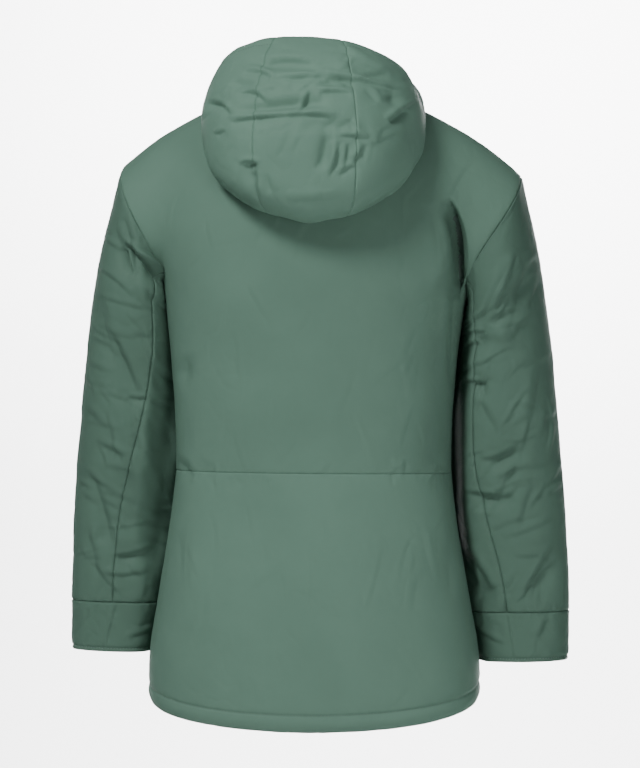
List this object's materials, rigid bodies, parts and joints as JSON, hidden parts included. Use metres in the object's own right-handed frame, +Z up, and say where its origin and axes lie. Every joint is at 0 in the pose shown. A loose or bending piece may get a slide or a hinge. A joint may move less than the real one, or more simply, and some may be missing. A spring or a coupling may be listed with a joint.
{
  "type": "hooded winter parka",
  "caption": "Padded hip-length parka with a hood hanging at the back, set-in sleeves with plain cuffs, a waist seam at the back and a full-length front zip; hollow and open.",
  "frame": {"origin": "centre of the neck opening at the height of the nape seam, where the wearer's neck and shoulders carry the coat", "axes": "+Z up, -Y towards the garment's back, +Y towards its front and zip, +X towards the wearer's right sleeve"},
  "size_m": [0.679, 0.3629, 0.9055],
  "materials": {
    "shell_cloth": "satin",
    "zip_tape": "matte",
    "zip_teeth": "satin",
    "zip_metal": "satin"
  },
  "bodies": {
    "parka": {"back_body": "shell_cloth", "back_skirt": "shell_cloth", "front_left": "shell_cloth", "front_right": "shell_cloth", "sleeve_outer_left": "shell_cloth", "sleeve_outer_right": "shell_cloth", "sleeve_under_left": "shell_cloth", "sleeve_under_right": "shell_cloth", "cuff_left": "shell_cloth", "cuff_right": "shell_cloth", "hood_centre": "shell_cloth", "hood_left": "shell_cloth", "hood_right": "shell_cloth", "zip_tape_left": "zip_tape", "zip_tape_right": "zip_tape", "zip_chain": "zip_teeth", "zip_slider": "zip_metal"},
    "pull_tab": {"zip_pull_tab": "zip_metal"}
  },
  "joints": [
    {"name": "pull_tab_swing", "type": "hinge", "parent": "parka", "child": "pull_tab", "pos_m": [0, 0.08048, -0.02125], "axis": [1, 0, 0], "range_deg": [-8, 150]}
  ]
}
